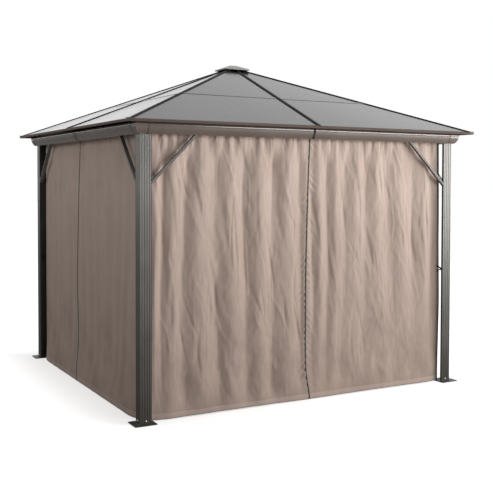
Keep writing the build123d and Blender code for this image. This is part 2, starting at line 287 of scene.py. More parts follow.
def twinWallSheet():
    # Extruded twin-wall polycarbonate, smoke tinted: glossy, with faint flutes that run down the
    # slope. The flutes are a sine of the distance along the wall that the sheet faces.
    plan = sheetPlan
    material, tree, place = newMaterial("twin_wall_polycarbonate_smoke")
    split = addNode(tree, "SeparateXYZ", {0: place})
    x, y = split.outputs["X"], split.outputs["Y"]
    # that distance is X on the front and back, and Y on the other two
    sizeX = addNode(tree, "Math", {0: x}, operation="ABSOLUTE")
    sizeY = addNode(tree, "Math", {0: y}, operation="ABSOLUTE")
    facing = addNode(tree, "Math", {0: sizeX, 1: sizeY}, operation="GREATER_THAN")
    along = addNode(tree, "Mix", {0: facing, 2: x, 3: y}, data_type="FLOAT")
    flute = addNode(tree, "Math", {0: along, 1: fullTurn / plan["flute"]}, operation="MULTIPLY")
    flute = addNode(tree, "Math", {0: flute}, operation="SINE")
    haze = addNode(tree, "TexNoise", {
        "Vector": place, "Scale": plan["haze"], "Detail": 5.0, "Roughness": 0.6,
    })
    tone = addNode(tree, "Math", {0: flute, 1: plan["fluteTone"], 2: haze}, operation="MULTIPLY_ADD")
    base = addNode(tree, "ValToRGB", {"Fac": tone}, zip(plan["tones"], plan["colors"]))
    smoothest, roughest = plan["roughness"]
    rough = addNode(tree, "MapRange", {"Value": haze, "To Min": smoothest, "To Max": roughest})
    bump = addNode(tree, "Bump", {
        "Height": flute, "Strength": plan["fluteStrength"], "Distance": 0.001,
    })
    shader = addNode(tree, "BsdfPrincipled", {
        "Base Color": base, "Roughness": rough, "Normal": bump, "IOR": 1.58,
    })
    addNode(tree, "OutputMaterial", {"Surface": shader})
    return material


sheetPlastic = twinWallSheet()

clothPlan = {
    "colors": ("#c2ada1", "#d2beb3"),
    "tones": (0.35, 0.65),
    "slub": (70.0, 6.0, 1.0),  # 14 mm wide and 170 mm long
    "slubShare": 0.4,
    "cloud": 3.0,  # 0.3 m
    "cloudShare": 0.6,
    # painted shade towards the hem: its colour, the height where it starts and its largest share
    "hemShadeColor": "#7b685d",
    "hemShadeTop": 1.75,
    "hemShadeMost": 1.15,
    "hemHeight": 0.045,
    "hemColor": "#d5c2b7",
    "hemShare": 0.25,
    "stitchColor": "#6d5f55",
    "stitchShare": 0.2,
    "stitchHalf": 0.0025,  # half the height of the stitch line
    "thread": 0.003,  # threads are 0.5 mm apart, drawn 3 mm apart so that the weave shows near by
    "weaveShare": 0.12,
    "relief": 0.25,
}


def polyesterCloth():
    # Plain-woven polyester, 180 g: matt with a soft sheen, slubs along the threads and doubled
    # hems. The weave is the product of two sines, one across and one along the cloth.
    plan = clothPlan
    material, tree, place = newMaterial("woven_polyester_beige")
    uv = place.node.outputs["UV"]  # metres along and up the cloth
    split = addNode(tree, "SeparateXYZ", {0: uv})
    along, up = split.outputs["X"], split.outputs["Y"]
    stretched = addNode(tree, "Mapping", {"Vector": uv, "Scale": plan["slub"]})
    slub = addNode(tree, "TexNoise", {"Vector": stretched, "Scale": 1.0, "Detail": 3.0})
    cloud = addNode(tree, "TexNoise", {"Vector": uv, "Scale": plan["cloud"], "Detail": 3.0})
    tone = addNode(tree, "Math", {0: slub, 1: plan["slubShare"]}, operation="MULTIPLY")
    tone = addNode(tree, "Math", {0: cloud, 1: plan["cloudShare"], 2: tone}, operation="MULTIPLY_ADD")
    base = addNode(tree, "ValToRGB", {"Fac": tone}, zip(plan["tones"], plan["colors"]))
    # painted shade: the cloth is darkened towards its hem, standing in for the light that falls off lower
    # down
    hemShade = addNode(tree, "MapRange", {
        "Value": up, "From Max": plan["hemShadeTop"], "To Min": plan["hemShadeMost"], "To Max": 0.0,
    })
    hemShade = addNode(tree, "Math", {0: hemShade, 1: cloud}, operation="MULTIPLY")
    # the doubled hem lets less light through, so it reads paler; a stitch line runs along its top
    hem = addNode(tree, "Math", {0: up, 1: plan["hemHeight"]}, operation="LESS_THAN")
    hem = addNode(tree, "Math", {0: hem, 1: plan["hemShare"]}, operation="MULTIPLY")
    stitch = {0: up, 1: plan["hemHeight"], 2: plan["stitchHalf"]}
    stitch = addNode(tree, "Math", stitch, operation="COMPARE")
    stitch = addNode(tree, "Math", {0: stitch, 1: plan["stitchShare"]}, operation="MULTIPLY")
    for share, color in ((hemShade, "hemShadeColor"), (hem, "hemColor"), (stitch, "stitchColor")):
        layers = {0: share, 6: base, 7: hexColor(plan[color])}
        base = addNode(tree, "Mix", layers, data_type="RGBA").outputs[2]
    threads = []
    for distance in (along, up):
        thread = addNode(tree, "Math", {0: distance, 1: fullTurn / plan["thread"]}, operation="MULTIPLY")
        threads.append(addNode(tree, "Math", {0: thread}, operation="SINE"))
    weave = addNode(tree, "Math", {0: threads[0], 1: threads[1]}, operation="MULTIPLY")
    relief = addNode(tree, "Math", {0: weave, 1: plan["weaveShare"], 2: slub}, operation="MULTIPLY_ADD")
    bump = addNode(tree, "Bump", {"Height": relief, "Strength": plan["relief"], "Distance": 0.002})
    shader = addNode(tree, "BsdfPrincipled", {
        "Base Color": base, "Normal": bump, "Roughness": 0.85, "Sheen Weight": 0.08,
        "Sheen Roughness": 0.5, "Specular IOR Level": 0.15,
    })
    addNode(tree, "OutputMaterial", {"Surface": shader})
    return material


curtainCloth = polyesterCloth()


def plainPlastic(name, color, darker, roughness):
    # Moulded plastic, extruded rubber or braided cord: fine grain from the tool or the braid,
    # slightly uneven in tone. The tone is wide noise and the relief is fine noise.
    material, tree, place = newMaterial(name)
    grain = addNode(tree, "TexNoise", {"Vector": place, "Scale": 700.0, "Detail": 2.0})  # 1.4 mm
    cloud = addNode(tree, "TexNoise", {"Vector": place, "Scale": 14.0, "Detail": 2.0})  # 70 mm
    base = addNode(tree, "ValToRGB", {"Fac": cloud}, ((0.35, darker), (0.65, color)))
    bump = addNode(tree, "Bump", {"Height": grain, "Strength": 0.2, "Distance": 0.0005})
    shader = addNode(tree, "BsdfPrincipled", {
        "Base Color": base, "Normal": bump, "Roughness": roughness, "IOR": 1.49,
    })
    addNode(tree, "OutputMaterial", {"Surface": shader})
    return material


blackPlastic = plainPlastic("moulded_nylon_black", "#262625", "#191918", 0.45)
whitePlastic = plainPlastic("moulded_acetal_white", "#d9d7d0", "#c6c4bd", 0.35)
zipNylon = plainPlastic("coil_zip_nylon_grey_green", "#4d5450", "#3c423f", 0.5)
# the seal material also colours the dark strips that paint shade on the post flanges
sealRubberAndShade = plainPlastic("epdm_rubber_seal_and_painted_shade", "#30302e", "#232322", 0.7)
# the cord material also colours the dark tapes that paint shade along the curtains' outer edges
cordAndEdgeShade = plainPlastic("braided_elastic_black_and_edge_shade", "#242423", "#171717", 0.75)


def zincedSteel():
    # bright zinc plate on steel screws: pale grey metal with a soft spangle of 3 mm cells
    material, tree, place = newMaterial("zinc_plated_steel")
    spangle = addNode(tree, "TexVoronoi", {"Vector": place, "Scale": 350.0})
    base = addNode(tree, "ValToRGB", {"Fac": spangle}, ((0.0, "#b9bcbd"), (1.0, "#e0e2e2")))
    shader = addNode(tree, "BsdfPrincipled", {"Base Color": base, "Roughness": 0.3, "Metallic": 1.0})
    addNode(tree, "OutputMaterial", {"Surface": shader})
    return material


boltZinc = zincedSteel()

# the finish of each CAD node, by the start of its name
finishes = {
    "post_": postCoat,
    "foot_plate_": plateCoat,
    "brace_": postCoat,
    "gutter_": gutterCoat,
    "eave_trim_": trimCoat,
    "hip_rib_": ribCoat,
    "middle_rib_": ribCoat,
    "crown_hub": ribCoat,
    "vent_cap": capCoat,
    "roof_sheets_": sheetPlastic,
}
for nodeName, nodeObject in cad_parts.items():
    for start, material in finishes.items():
        if nodeName.startswith(start):
            nodeObject.data.materials.clear()
            nodeObject.data.materials.append(material)
print("stage: finishes on the CAD nodes")

# The front panels and one side panel, shared by the right and back, are simulated as cloth: cut wider than
# their place by the fullness, pinned along the track and at both upright edges, and left to hang.
curtainPlan = {
    "top": 1.9847,  # under the track
    "bottom": 0.004,
    "line": 1.2948,  # distance of the cloth from the middle
    "thickness": 0.0011,
    "grid": (0.0195, 0.024),  # spacing of the simulated cloth, across and down
    "frames": 24,
    "longer": 1.003,  # cut height over the height it hangs
    "wander": 0.5,  # how far a fold strays from its place, in radians
    "foldMean": 0.64,  # taken off the fold's formula so that it lies about its own middle
    "foldGain": (0.95, 0.25),  # mean depth of a fold and how much it varies
    "gathers": (0.45, 0.12),  # depth of the gathers under the track, and of finer ones on them
    "heading": 0.2,  # height over which the gathers merge into folds
    "headingStart": 0.03,
    "edge": 0.035,  # width over which folds die out at an upright edge
    "calmFrom": 0.15,  # folds have their least depth below this height
    "calmRise": 1.1,  # and all of it this much higher
    "hem": 0.085,  # height over which the folds straighten towards the hem
    "hemShare": 0.85,  # how much of a fold the hem takes out
    "flare": 0.024,  # how far the hem stands out
    "flareLeft": 1.7,  # times as far on the left wall
    "flareHeight": 0.221,
    "flareEdge": 0.09,
    "braceRoom": 0.019,  # a fold deeper than this is held back from the braces
    "braceHold": 0.55,
}
# lines are lists of height and place
postEdge = ((0.0, 1.262), (0.67, 1.276), (1.83, 1.253), (1.985, 1.25))
straightEdge = ((0.0, 1.256), (0.6, 1.262), (1.4, 1.26), (1.985, 1.25))
middleLine = ((0.0, 0.0), (2.0, 0.0))
zipLines = {
    "front": ((0.0, 0.014), (0.178, -0.017), (1.007, -0.015), (1.49, -0.003), (1.807, 0.006), (1.985, 0.018)),
    "right": ((0.0, 0.01), (0.5, -0.012), (1.3, 0.006), (1.985, -0.004)),
    "back": ((0.0, -0.012), (0.6, 0.012), (1.4, -0.004), (1.985, 0.006)),
    "left": ((0.0, -0.150), (0.09, -0.196), (0.26, -0.222), (0.8, -0.272), (1.465, -0.227), (1.985, -0.165)),
}
# places are where a fold turns towards the right, and calm is the share of its depth near the floor
panels = {
    "front_left": {
        "places": (-1.2, -1.05, -0.82, -0.585, -0.35, -0.12),
        "fullness": 1.1, "depth": 0.022, "seed": 5, "calm": 0.8,
    },
    "front_right": {
        "places": (0.13, 0.27, 0.49, 0.715, 0.925, 1.14),
        "fullness": 1.066, "depth": 0.0165, "seed": 9, "calm": 0.45,
    },
    "side": {
        "places": (-1.16, -0.93, -0.7, -0.47, -0.26, -0.08),
        "fullness": 1.08, "depth": 0.02, "seed": 21, "calm": 0.7,
    },
}


def lineAt(points, z):
    # follows a short list of (height, place) with its corners rounded: the mean of three
    # readings, 70 mm apart
    heights, places = np.array(points).T
    return sum(np.interp(z + shift, heights, places) for shift in (-0.07, 0.0, 0.07)) / 3


def mirroredLine(points):
    # the same line on the other side of the middle: place times minus one
    return tuple((height, -place) for height, place in points)


def foldPhase(x, places):
    # angle that stands a quarter turn past a crest at each listed place, and goes on evenly
    # for two folds past the first and the last
    places = np.asarray(places)
    turns = np.arange(len(places)) + 0.25
    first, last = places[1] - places[0], places[-1] - places[-2]
    places = np.concatenate([[places[0] - 2 * first], places, [places[-1] + 2 * last]])
    turns = np.concatenate([[turns[0] - 2], turns, [turns[-1] + 2]])
    return fullTurn * np.interp(x, places, turns)


def calmed(share, height):
    # share of a fold's depth at a height: the given share near the floor, easing up to all of it
    rise = eased((height - curtainPlan["calmFrom"]) / curtainPlan["calmRise"])
    return share + (1 - share) * rise


def clothGrid(rows, columns, leftEdge, rightEdge):
    # a grid between two upright edges: start plus the share across times the width at each height
    drop = curtainPlan["top"] - curtainPlan["bottom"]
    u = np.tile(np.linspace(0, 1, columns), (rows, 1))
    z = np.linspace(0, drop, rows)[:, None] * np.ones((1, columns))
    height = z + curtainPlan["bottom"]
    start, finish = lineAt(leftEdge, height), lineAt(rightEdge, height)
    x = start + u * (finish - start)
    return u, z, height, x, np.minimum(x - start, finish - x)


def pinnedShape(panel, leftEdge, rightEdge):
    # the start of the cloth: folds at the listed places, twice as many gathers under the track
    plan = curtainPlan
    drop = plan["top"] - plan["bottom"]
    width = rightEdge[-1][1] - leftEdge[-1][1]
    columns = int(round(width * panel["fullness"] / plan["grid"][0])) + 1
    rows = int(round(drop / plan["grid"][1])) + 1
    u, z, height, x, _ = clothGrid(rows, columns, leftEdge, rightEdge)
    seed = panel["seed"]
    phase = foldPhase(x, panel["places"]) + plan["wander"] * smoothNoise(x, z, seed, 0.7, 2.2)
    # rounded crests over tighter valleys: half a cosine and the size of its half turn
    low = 0.5 * np.cos(phase) + np.abs(np.cos(phase / 2)) - plan["foldMean"]
    mean, varied = plan["foldGain"]
    low *= (mean + varied * smoothNoise(x, z, seed + 1, 0.5, 1.5)) * calmed(panel["calm"], height)
    # gathers: a cosine of twice the phase, with a sine of five times the phase on it
    high = np.cos(2 * phase + 0.9 * smoothNoise(x, z, seed + 2, 0.25, 3.0))
    fine = np.sin(5 * phase + 1.5 * smoothNoise(x, z, seed + 3, 0.2, 3.0))
    high = plan["gathers"][0] * high + plan["gathers"][1] * fine
    blend = eased((drop - z - plan["headingStart"]) / plan["heading"])
    depth = panel["depth"] * (blend * low + (1 - blend) * high)
    depth *= 1 - bell(np.minimum(u, 1 - u) * width, plan["edge"])
    hung = np.stack([x, -depth, height], axis=-1)
    flat = np.stack([u * width * panel["fullness"], np.zeros_like(u), z * plan["longer"]], axis=-1)
    return hung, flat


clothSettings = {
    "quality": 5,
    "mass": 0.001,
    "tension_stiffness": 15,
    "compression_stiffness": 15,
    "shear_stiffness": 5,
    "bending_stiffness": 0.5,
    "air_damping": 2.0,
    "vertex_group_mass": "held",
}


def simulated(hung, flat):
    # lets the cloth hang under its own weight, pinned along its top and both upright edges
    rows, columns = hung.shape[:2]
    mesh = bpy.data.meshes.new("cloth_in_work")
    mesh.from_pydata(hung.reshape(-1, 3).tolist(), [], gridFaces(rows, columns).tolist())
    work = addObject("cloth_in_work", mesh)
    scene = bpy.context.scene
    work.shape_key_add(name="hung")
    rest = work.shape_key_add(name="cut")
    rest.data.foreach_set("co", flat.ravel())
    rest.value = 0.0
    index = np.arange(rows * columns).reshape(rows, columns)
    held = work.vertex_groups.new(name="held")
    pinned = np.unique(np.concatenate([index[-1], index[:, 0], index[:, -1]]))
    held.add(pinned.tolist(), 1.0, "REPLACE")
    cloth = work.modifiers.new("cloth", "CLOTH")
    for key, value in clothSettings.items():
        setattr(cloth.settings, key, value)
    cloth.settings.rest_shape_key = rest
    cloth.collision_settings.use_collision = False
    cloth.point_cache.frame_start = 1
    cloth.point_cache.frame_end = curtainPlan["frames"]
    for number in range(1, curtainPlan["frames"] + 1):
        scene.frame_set(number)
    result = work.evaluated_get(bpy.context.evaluated_depsgraph_get()).to_mesh()
    points = np.empty(rows * columns * 3)
    result.vertices.foreach_get("co", points)
    bpy.data.objects.remove(work)
    bpy.data.meshes.remove(mesh)
    scene.frame_set(1)
    return points.reshape(rows, columns, 3)


def relaxed(points):
    # takes the grain of the grid out of the inner points: half each point, half the mean of its
    # four neighbours
    points = points.copy()
    mean = (points[:-2, 1:-1] + points[2:, 1:-1] + points[1:-1, :-2] + points[1:-1, 2:]) / 4
    points[1:-1, 1:-1] = (points[1:-1, 1:-1] + mean) / 2
    return points


def halved(points, axis):
    # a new point between neighbours, on the cubic through four: (9 (b + c) - a - d) / 16
    points = np.moveaxis(points, axis, 0)
    before = np.concatenate([2 * points[:1] - points[1:2], points[:-2]])
    after = np.concatenate([points[2:], 2 * points[-1:] - points[-2:-1]])
    middle = (9 * (points[:-1] + points[1:]) - before - after) / 16
    result = np.empty((2 * len(points) - 1, *points.shape[1:]))
    result[::2], result[1::2] = points, middle
    return np.moveaxis(result, 0, axis)


def hangingCloth(panel, leftEdge, rightEdge):
    # the hung points of a panel, and the width and height that it was cut to
    hung, flat = pinnedShape(panel, leftEdge, rightEdge)
    hung = relaxed(simulated(hung, flat))
    return hung, (float(flat[0, -1, 0]), float(flat[-1, 0, 2]))


# Small creases: some hang from the track, some lie slanted, tucks go inwards, and a few run
# straight down. Lengths, heights and slopes are drawn between two limits.
creasePlan = {
    "heading": {
        "count": 34, "depth": 0.0042, "width": 0.0075,
        "length": (0.05, 0.15), "from": (1.9, 1.985), "slope": (-0.3, 0.35),
    },
    "slanted": {
        "count": 30, "depth": 0.0058, "width": 0.0115,
        "length": (0.07, 0.18), "from": (0.25, 1.8), "slope": (0.12, 0.5),
    },
    "tucks": {
        "count": 18, "depth": -0.0096, "width": 0.019,
        "length": (0.16, 0.3), "from": (0.3, 1.6), "slope": (0.04, 0.2),
    },
    "upright": {
        "count": 15, "depth": 0.0042, "width": 0.0065,
        "length": (0.14, 0.4), "from": (0.5, 1.8), "slope": (-0.04, 0.06),
    },
}
creaseShape = {
    "margin": 0.03,  # no crease starts nearer to an upright edge
    "edge": 0.02,  # width over which creases die out at an edge
    "bend": 0.6,  # how far a crease may curve, per metre of its length
    "widthShares": (0.62, 1.4),  # the steep side and the slack side
    "lengthShares": (0.5, 1.25),  # below its middle, where it runs out in a point, and above
}


def creases(points, seed, narrowest, calm):
    # depth times a bell across the crease times a bell along it, summed over all creases
    plan = creaseShape
    source = np.random.default_rng(seed)
    x, z = points[..., 0], points[..., 2]
    low, high = x.min() + plan["margin"], x.max() - plan["margin"]
    total = np.zeros_like(x)
    for kind in creasePlan.values():
        for number in range(kind["count"]):
            middle = low + (high - low) * (number + source.uniform(0.0, 1.0)) / kind["count"]
            height = source.uniform(*kind["from"])
            length = source.uniform(*kind["length"])
            slope = source.uniform(*kind["slope"])
            width = max(kind["width"] * source.uniform(0.7, 1.3), narrowest)
            gain = kind["depth"] * source.uniform(0.4, 1.0)
            if kind["depth"] > 0:
                gain *= source.choice((-1, 1, 1))  # a third of the creases go inwards
            bend = source.uniform(-plan["bend"], plan["bend"])
            down = height - z
            across = (x - middle - slope * down - bend * down * down) / math.hypot(1, slope)
            width = width * np.where(across > 0, *plan["widthShares"])
            length = length * np.where(down > 0, *plan["lengthShares"])
            total += gain * bell(across, width) * bell(down, length)
    lowEdge, highEdge = x.min(axis=1, keepdims=True), x.max(axis=1, keepdims=True)
    inside = 1 - bell(np.minimum(x - lowEdge, highEdge - x), plan["edge"])
    result = points.copy()
    result[..., 1] -= total * inside * calmed(calm, z)
    return result


puckerPlan = {
    "depth": 0.0075,
    "spacing": 0.049,
    "lean": 0.9,  # how far a pucker rises for each metre away from the fastener
    "reach": 0.036,
    "seam": 0.008,  # flat beside the seam
    "hemDepth": 0.0022,
    "hemSpacing": 0.075,
    "hemReach": 0.05,
}


def sewingPuckers(points, zipOnRight, seed, strength):
    # short creases that lean away from the slide fastener, and small waves in the hem: each is
    # a wave with a strayed phase, dying out exponentially with the distance
    plan = puckerPlan
    x, z = points[..., 0], points[..., 2]
    edge = points[:, -1:, 0] if zipOnRight else points[:, :1, 0]
    away = np.abs(x - edge)
    stray = 1.7 * smoothNoise(x, z, seed, 0.4, 0.3, 6)
    pucker = wave(z + plan["lean"] * away, plan["spacing"], stray)
    pucker *= 0.65 + 0.5 * smoothNoise(x, z, seed + 3, 0.3, 0.25, 6)
    depth = plan["depth"] * pucker * np.exp(-away / plan["reach"]) * (1 - bell(away, plan["seam"]))
    above = z - curtainPlan["bottom"]
    hemWave = wave(x, plan["hemSpacing"], 2.2 * smoothNoise(x, z, seed + 1, 0.35, 0.3, 6))
    depth += plan["hemDepth"] * hemWave * np.exp(-above / plan["hemReach"])
    result = points.copy()
    result[..., 1] -= strength * depth
    return result


# folds of the left wall, each with its depth and its width
wallPlan = {
    "grid": (170, 120),
    "folds": (0.0035, 0.21),
    "dents": (0.0022, 0.16),
    "gathers": (0.004, 0.105),
    "gatherHeight": 0.06,
    "edge": 0.05,
}


def flatWall(leftEdge, rightEdge, seed):
    # the left wall is drawn tight: a few shallow folds, dents, and gathers close under the track,
    # which are waves and noise that die out at the upright edges
    plan = wallPlan
    _, _, height, x, edge = clothGrid(*plan["grid"], leftEdge, rightEdge)
    foldDepth, foldWidth = plan["folds"]
    dentDepth, dentWidth = plan["dents"]
    gatherDepth, gatherWidth = plan["gathers"]
    depth = foldDepth * wave(x, foldWidth, 1.4 * smoothNoise(x, height, seed, 0.6, 2.4))
    depth += dentDepth * smoothNoise(x, height, seed + 1, dentWidth, 1.1, 10)
    gather = wave(x, gatherWidth, smoothNoise(x, height, seed + 2, 0.3, 3.0, 6))
    depth += gatherDepth * gather * np.exp(-(curtainPlan["top"] - height) / plan["gatherHeight"])
    depth *= 1 - bell(edge, plan["edge"])
    return np.stack([x, -depth, height], axis=-1)


def hemFlare(side, z):
    # how far the cloth stands out near the floor: the flare times a bell of the height
    most = curtainPlan["flare"] * (curtainPlan["flareLeft"] if side == "left" else 1.0)
    return most * bell(z - curtainPlan["bottom"], curtainPlan["flareHeight"])


# painted shade along the outer upright edge of each curtain: width, thickness and wrap of a dark tape
edgeShadeTape = {"width": 0.007, "thickness": 0.0026, "wrap": 0.0012}
edgeShadeTapes = []


def edgeShadeBinding(edge, inward):
    # painted shade: a dark tape round the outer upright edge gives the shaded line where the cloth turns
    # away; it is a flat box section carried down its points
    w, t, o = edgeShadeTape["width"] * inward, edgeShadeTape["thickness"] / 2, edgeShadeTape["wrap"] * inward
    section = np.array([(-o, -t), (w, -t), (w, t), (-o, t)])
    ring = np.zeros((len(edge), 4, 3))
    ring[..., :2] = edge[:, None, :2] + section[None]
    ring[..., 2] = edge[:, None, 2]
    last = 4 * (len(edge) - 1)
    lids = [[3, 2, 1, 0], [last, last + 1, last + 2, last + 3]]
    faces = np.concatenate([gridFaces(len(edge), 4, wrap=True), lids])
    return ring, faces if inward > 0 else faces[:, ::-1]


def placedCloth(side, end, points, size, fine=False):
    # turns a panel to its wall, gives it its thickness and puts it in the place of the CAD sheet
    plan = curtainPlan
    first = end == sideEnds[side][0]
    name = side + "_" + end
    seed = 60 + 7 * list(sides).index(side) + (0 if first else 3)
    points = points.copy()
    if fine:
        points = halved(halved(halved(points, 0), 1), 1)
    elif side != "left":
        points = halved(points, 1)
    points = sewingPuckers(points, first, seed, 0.5 if side == "left" else 1.0)
    if side != "left":
        narrowest = 1.4 * size[0] / points.shape[1]  # a crease needs more than one step of the grid
        points = creases(points, seed, narrowest, panels.get(name, panels["side"])["calm"])
    # the weighted hem pulls the folds out straight and stands a little outwards
    x, z = points[..., 0], points[..., 2]
    above = z - plan["bottom"]
    outerEdge = points[:, :1, 0] if first else points[:, -1:, 0]
    points[..., 1] *= 1 - plan["hemShare"] * bell(above, plan["hem"])
    outward = hemFlare(side, z) * (1 - bell(np.abs(x - outerEdge), plan["flareEdge"]))
    # nothing may press against the braces in front of the cloth
    over = -points[..., 1] - plan["braceRoom"]
    points[..., 1] += np.where(over > 0, over * plan["braceHold"], 0.0) - outward
    rows, columns = points.shape[:2]
    along = np.tile(np.linspace(0, size[0], columns), (rows, 1))
    uv = np.stack([along, above], axis=-1)
    points[..., 1] -= plan["line"]
    # the dark tape at the outer edge is painted shade
    tape, tapeFaces = edgeShadeBinding(points[:, 0] if first else points[:, -1], 1 if first else -1)
    edgeShadeTapes.append((turned(tape, sides[side]), tapeFaces))
    placed, faces = turned(points, sides[side]), gridFaces(rows, columns)
    piece = meshPiece("curtain_cloth_" + name, placed, faces, curtainCloth, uv)
    shell = piece.modifiers.new("thickness", "SOLIDIFY")
    shell.thickness = plan["thickness"]
    shell.offset = 0.0
    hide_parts("curtain_" + name)


leftPost = mirroredLine(straightEdge)
shape, size = hangingCloth(panels["front_left"], leftPost, zipLines["front"])
placedCloth("front", "left", shape, size, fine=True)
shape, size = hangingCloth(panels["front_right"], zipLines["front"], postEdge)
placedCloth("front", "right", shape, size, fine=True)
print("stage: front curtains hung")
sideShape, sideCut = hangingCloth(panels["side"], leftPost, middleLine)
for sideName in ("right", "back"):
    for endName in sideEnds[sideName]:
        shape = sideShape.copy()
        share = np.linspace(0, 1, shape.shape[1])
        if endName != sideEnds[sideName][0]:
            shape, share = shape[:, ::-1].copy(), share[::-1]
            shape[..., 0] *= -1
        # the meeting edge is eased over to the fastener's line, most at that edge
        shape[..., 0] += share[None, :] ** 3 * lineAt(zipLines[sideName], shape[..., 2])
        placedCloth(sideName, endName, shape, sideCut)
leftWall = {"back": (leftPost, zipLines["left"], 31), "front": (zipLines["left"], straightEdge, 47)}
for endName, (lowEdge, highEdge, seed) in leftWall.items():
    shape = flatWall(lowEdge, highEdge, seed)
    # its cut size is the mean length of the grid's rows and of its columns
    acrossLength = np.linalg.norm(np.diff(shape, axis=1), axis=-1).sum(axis=1).mean()
    dropLength = np.linalg.norm(np.diff(shape, axis=0), axis=-1).sum(axis=0).mean()
    placedCloth("left", endName, shape, (float(acrossLength), float(dropLength)))
joinedPiece("curtain_edge_shade_tapes", edgeShadeTapes, cordAndEdgeShade, smooth=False)
print("stage: all curtains hung")

zipPlan = {
    "tape": 0.011,
    "proud": 0.00168,  # height of the coil for each unit of lift
    "face": 0.0016,  # the tape's front and back, in front of the cloth's line
    "rear": 0.0008,
    "bottom": 0.006,
    "top": 1.972,
    "rows": 260,
    "tooth": 0.015,  # teeth are 2 mm apart, drawn 15 mm apart so that the grid holds them
    "toothDepth": 0.12,
    "across": (-1.0, -0.55, -0.45, -0.2, 0.2, 0.45, 0.55, 1.0),  # shares of half the tape
    "lift": (0.0, 0.25, 1.0, 1.6, 1.6, 1.0, 0.25, 0.0),
}


def slideFastener(side):
    # tape and coil carried down the meeting line: a flat tape 11 mm wide with a rounded coil,
    # whose height is its lift times one plus a small wave for the teeth
    plan = zipPlan
    z = np.linspace(plan["bottom"], plan["top"], plan["rows"])
    across, lift = np.array(plan["across"]), np.array(plan["lift"])
    x = lineAt(zipLines[side], z)[:, None] + across[None, :] * plan["tape"] / 2
    tooth = 1 + plan["toothDepth"] * wave(z, plan["tooth"])[:, None] * (lift > 0.5)[None, :]
    line = (curtainPlan["line"] + hemFlare(side, z))[:, None]
    upright = z[:, None] * np.ones_like(x)
    front = np.stack([x, -(line + plan["face"] + plan["proud"] * lift * tooth), upright], axis=-1)
    back = np.stack([x, -(line + plan["rear"]) * np.ones_like(x), upright], axis=-1)
    ring = np.concatenate([front, back[:, ::-1]], axis=1)
    rows, count = ring.shape[:2]
    sleeve = gridFaces(rows, count, wrap=True)[:, ::-1]
    caps = np.array([[i, i + 1, count - 2 - i, count - 1 - i] for i in range(count // 2 - 1)])
    faces = np.concatenate([sleeve, caps, caps[:, ::-1] + (rows - 1) * count])
    return turned(ring, sides[side]), faces


for sideName in sides:
    points, faces = slideFastener(sideName)
    meshPiece("slide_fastener_" + sideName, points, faces, zipNylon)
print("stage: slide fasteners")

screwPlan = {
    "radius": 0.0062,
    "height": 0.0034,
    "sunk": 0.0006,
    "above": 0.02,  # post screws: height above the ground and distance from the corner
    "inset": 0.044,
    "braceNear": 0.02,  # brace screws: distances from the post and from the beam
    "braceFar": 0.302,
}


def screwHead(place, axis):
    # a domed head: pairs of radius and height turned about the axis
    r, h, sunk = screwPlan["radius"], screwPlan["height"], -screwPlan["sunk"]
    dome = [(poleRadius, h), (r * 0.45, h * 0.98), (r * 0.85, h * 0.7), (r, h * 0.25)]
    return lathe(dome + [(r, sunk), (poleRadius, sunk)], axis, place, 16)


inset, above = -half + screwPlan["inset"], screwPlan["above"]
screws = [screwHead((inset, -half, above), (0, -1, 0)), screwHead((-half, inset, above), (-1, 0, 0))]
near, far = screwPlan["braceNear"], screwPlan["braceFar"]
for mirror in (-1, 1):
    # brace ends, on the side that faces the room: one at the post, one under the beam
    for alongBeam, drop in ((near, far), (far, near)):
        place = (mirror * (half - postLeg - alongBeam), braceInner, postTop - drop)
        screws.append(screwHead(place, (0, 1, 0)))
joinedPiece("frame_screws", onAllSides(screws), boltZinc)

# outline of the gutter's face, outward and up from the posts' tops, as in the CAD section
gutterFace = np.array([
    (0.010, -0.0006), (0.0165, -0.0006), (0.0215, 0.0046), (0.0268, 0.0116), (0.0314, 0.0188),
    (0.0352, 0.0262), (0.0385, 0.0352), (0.0409, 0.0437), (0.0427, 0.0520), (0.0448, 0.0556),
    (0.0458, 0.0612), (0.0459, 0.0672), (0.0447, 0.0722), (0.0408, 0.0777), (0.0362, 0.0777),
])
sealPlan = {
    "thickness": 0.0016,
    "middle": {"width": 0.012, "proud": 0.0045},  # over the joint of the beam's two lengths
    "corner": {"width": 0.006, "proud": 0.0},  # over the joints with the corner pieces
    # painted shade: a dark strip on the free edge of every post flange, where the curtain meets it, gives the
    # line of shade inside the post's corner
    "strip": {"width": 0.0045, "bottom": 0.012, "top": 1.9675, "flange": 0.018, "inside": 0.0008},
    "lap": 0.0003,
}


def gutterSeal(x, width, proud):
    # a thin gasket lip laid over a joint: the face's outline moved out, and back along a line
    # inside it, at both ends of the seal's width
    outer = gutterFace + np.array([proud, -0.4 * proud])
    inner = np.stack([gutterFace[:, 0] - sealPlan["thickness"], gutterFace[:, 1] * 0.985 + 0.0006], axis=-1)
    ring = np.concatenate([outer, inner[::-1]])
    places = np.array([x - width / 2, x + width / 2])
    points = np.stack([
        places[:, None] * np.ones(len(ring)),
        -(half + ring[:, 0])[None, :] * np.ones((2, 1)),
        (postTop + ring[:, 1])[None, :] * np.ones((2, 1)),
    ], axis=-1)
    return points, gridFaces(2, len(ring), wrap=True)


def uprightBox(low, high):
    # eight corners and six faces of a box between two corners
    corner = np.array([low, high], dtype=float)
    pick = np.array([(0, 0, 0), (1, 0, 0), (1, 1, 0), (0, 1, 0), (0, 0, 1), (1, 0, 1), (1, 1, 1), (0, 1, 1)])
    faces = np.array([(3, 2, 1, 0), (4, 5, 6, 7), (0, 1, 5, 4), (1, 2, 6, 5), (2, 3, 7, 6), (3, 0, 4, 7)])
    return corner[pick, np.arange(3)], faces


